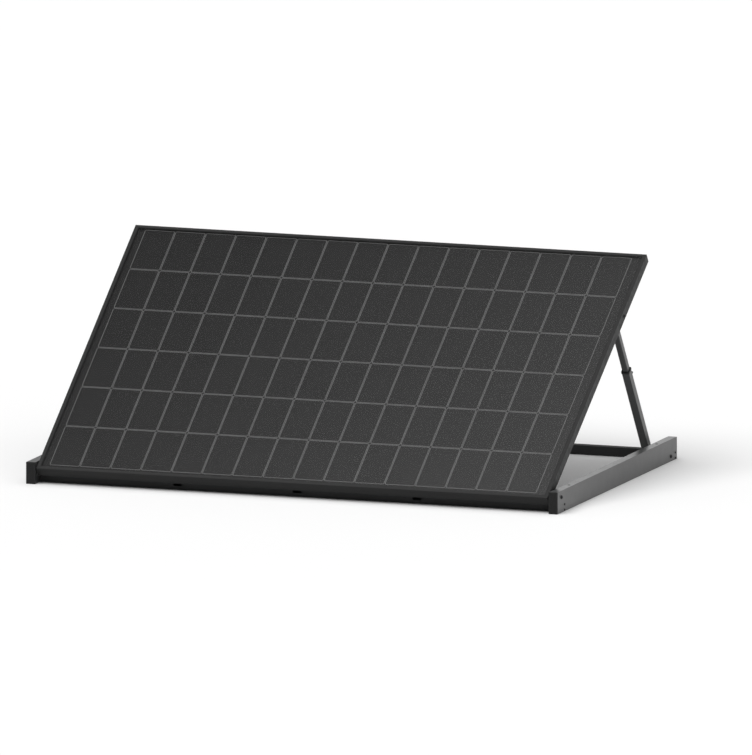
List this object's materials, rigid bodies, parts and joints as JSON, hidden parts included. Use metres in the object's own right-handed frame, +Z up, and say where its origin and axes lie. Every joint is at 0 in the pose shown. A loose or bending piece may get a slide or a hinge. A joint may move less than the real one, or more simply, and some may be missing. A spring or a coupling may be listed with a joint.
{
  "type": "free-standing solar panel",
  "caption": "Black framed solar module hinged between two ground rails with crossbars, held at a slope by two telescopic legs.",
  "frame": {"origin": "on the ground, at the centre of the base", "axes": "+X right along the module, +Y from the module's lower edge towards the rear, +Z up"},
  "size_m": [1.7836, 1.134, 0.6807],
  "materials": {
    "rail": "satin dark grey powder coat",
    "caps": "moulded black, ribbed",
    "bar": "matt black powder coat",
    "alu": "mill finish",
    "black_steel": "black oxide",
    "black_spacer": "moulded black",
    "nylon": "natural nylon",
    "zinc_steel": "zinc plated",
    "module_frame": "black anodised",
    "sealant": "black silicone",
    "cover_glass": "matt anti-reflective",
    "encapsulant": "clear film",
    "cells": "textured black silicon",
    "copper": "tinned copper",
    "backsheet": "black film",
    "box_plastic": "moulded black",
    "gasket": "moulded",
    "diode": "moulded",
    "leg_tube": "satin grey powder coat",
    "leg_plastic": "moulded black"
  },
  "bodies": {
    "base": {"rail_left": "rail", "rail_right": "rail", "rail_end_caps": "caps", "front_crossbar": "bar", "rear_crossbar": "bar", "crossbar_end_blocks": "alu", "crossbar_screws": "black_steel", "hinge_bushes": "nylon", "foot_bolts": "black_steel", "foot_crush_sleeves": "alu", "foot_spacers": "black_spacer", "foot_nuts": "zinc_steel"},
    "module": {"frame_top": "module_frame", "frame_bottom": "module_frame", "frame_left": "module_frame", "frame_right": "module_frame", "corner_keys": "alu", "frame_sealant": "sealant", "front_glass": "cover_glass", "front_encapsulant": "encapsulant", "cell_row_1": "cells", "cell_row_2": "cells", "cell_row_3": "cells", "cell_row_4": "cells", "cell_row_5": "cells", "cell_row_6": "cells", "cell_ribbons": "copper", "bus_ribbons": "copper", "rear_encapsulant": "encapsulant", "backsheet": "backsheet", "junction_box": "box_plastic", "junction_box_gasket": "gasket", "junction_box_lid": "box_plastic", "terminal_tabs": "copper", "bypass_diodes": "diode", "cable_glands": "box_plastic", "hinge_bolts": "black_steel", "frame_crush_spacers": "alu", "hinge_nuts": "zinc_steel", "leg_top_bolts": "black_steel", "leg_top_sleeves": "black_spacer", "leg_top_nuts": "zinc_steel"},
    "leg_outer_left": {"leg_outer_tube_left": "leg_tube", "leg_foot_plug_left": "leg_plastic", "leg_collar_left": "leg_plastic", "knob_boss_left": "black_steel"},
    "leg_inner_left": {"leg_inner_tube_left": "leg_tube", "leg_guide_plug_left": "nylon", "leg_eye_left": "leg_plastic"},
    "lock_knob_left": {"lock_knob_left": "leg_plastic"},
    "leg_outer_right": {"leg_outer_tube_right": "leg_tube", "leg_foot_plug_right": "leg_plastic", "leg_collar_right": "leg_plastic", "knob_boss_right": "black_steel"},
    "leg_inner_right": {"leg_inner_tube_right": "leg_tube", "leg_guide_plug_right": "nylon", "leg_eye_right": "leg_plastic"},
    "lock_knob_right": {"lock_knob_right": "leg_plastic"}
  },
  "joints": [
    {"name": "module_tilt", "type": "hinge", "parent": "base", "child": "module", "pos_m": [0, -0.5292, 0.0498], "axis": [1, 0, 0], "range_deg": [-8.7, 4.3]},
    {"name": "leg_foot_left", "type": "hinge", "parent": "base", "child": "leg_outer_left", "pos_m": [-0.813, 0.51, 0.016], "axis": [1, 0, 0], "range_deg": [-0.4, 0.75]},
    {"name": "leg_slide_left", "type": "slide", "parent": "leg_outer_left", "child": "leg_inner_left", "axis": [0, -0.5701, 0.8216], "range_m": [-0.127, 0.063]},
    {"name": "knob_turn_left", "type": "hinge", "parent": "leg_outer_left", "child": "lock_knob_left", "pos_m": [-0.813, 0.33619, 0.3068], "axis": [0, 0.8216, 0.5701], "range_deg": [0, 360]},
    {"name": "leg_foot_right", "type": "hinge", "parent": "base", "child": "leg_outer_right", "pos_m": [0.813, 0.51, 0.016], "axis": [1, 0, 0], "range_deg": [-0.4, 0.75]},
    {"name": "leg_slide_right", "type": "slide", "parent": "leg_outer_right", "child": "leg_inner_right", "axis": [0, -0.5701, 0.8216], "range_m": [-0.127, 0.063]},
    {"name": "knob_turn_right", "type": "hinge", "parent": "leg_outer_right", "child": "lock_knob_right", "pos_m": [0.813, 0.33619, 0.3068], "axis": [0, 0.8216, 0.5701], "range_deg": [0, 360]}
  ],
  "couplings": [
    {"joint": "leg_foot_left", "follows": "module_tilt", "ratio": -0.0817},
    {"joint": "leg_slide_left", "follows": "module_tilt", "m_per_rad": 0.8333},
    {"joint": "leg_foot_right", "follows": "module_tilt", "ratio": -0.0817},
    {"joint": "leg_slide_right", "follows": "module_tilt", "m_per_rad": 0.8333}
  ]
}
